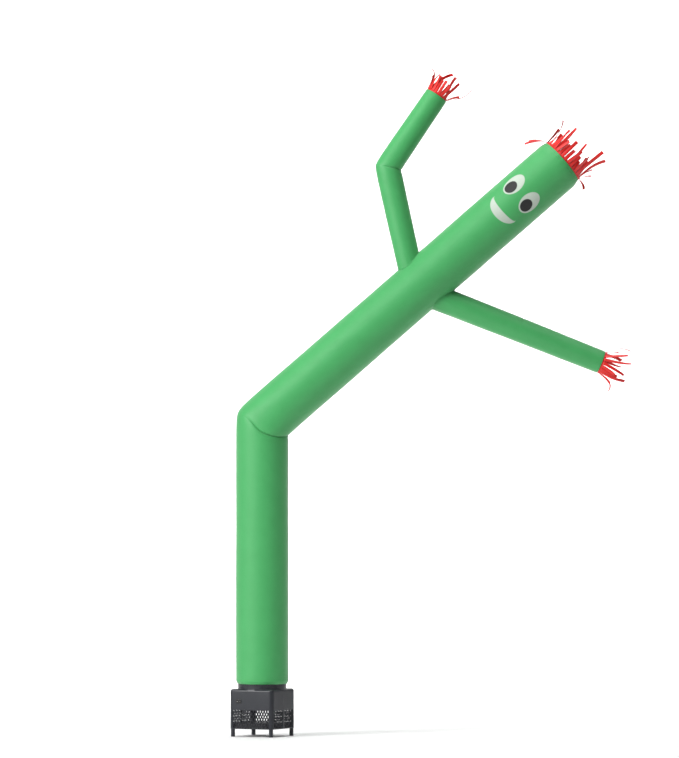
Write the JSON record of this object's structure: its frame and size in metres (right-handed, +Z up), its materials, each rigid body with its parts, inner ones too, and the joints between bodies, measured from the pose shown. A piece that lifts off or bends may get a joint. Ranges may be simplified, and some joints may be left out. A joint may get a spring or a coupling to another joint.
{
  "type": "inflatable air dancer on a fan blower",
  "caption": "Inflatable tube dancer in bright cloth with sleeves, a smiling face and ribbon streamers, bent over in mid dance on a small square fan blower.",
  "frame": {"origin": "centre of the overall box on the floor; the blower's axis stands at X = -0.425 m, Y = 0", "axes": "+Z up; +X towards the side that the dancer bends to; -Y towards its front, where the face is"},
  "size_m": [1.0291, 0.1618, 1.7138],
  "materials": {
    "green_cloth": "smooth matte nylon",
    "red_ribbon": "smooth matte nylon",
    "black_plastic": "fine moulded grain",
    "switch_plastic": "glossy",
    "white_plastic": "glossy",
    "motor_steel": "plated steel",
    "dark_steel": "black paint"
  },
  "bodies": {
    "root": {"body_tube": "green_cloth", "arm_left": "green_cloth", "arm_right": "green_cloth", "head_streamers": "red_ribbon", "left_cuff_streamers": "red_ribbon", "right_cuff_streamers": "red_ribbon", "housing_front": "black_plastic", "housing_back": "black_plastic", "grille_front": "black_plastic", "grille_back": "black_plastic", "grille_right_front": "black_plastic", "grille_right_back": "black_plastic", "grille_left_front": "black_plastic", "grille_left_back": "black_plastic", "guard": "black_plastic", "fan": "black_plastic", "base_plate": "dark_steel", "motor_can": "motor_steel", "motor_cap": "white_plastic", "switch_frame": "switch_plastic", "switch_rocker": "switch_plastic"}
  },
  "joints": []
}
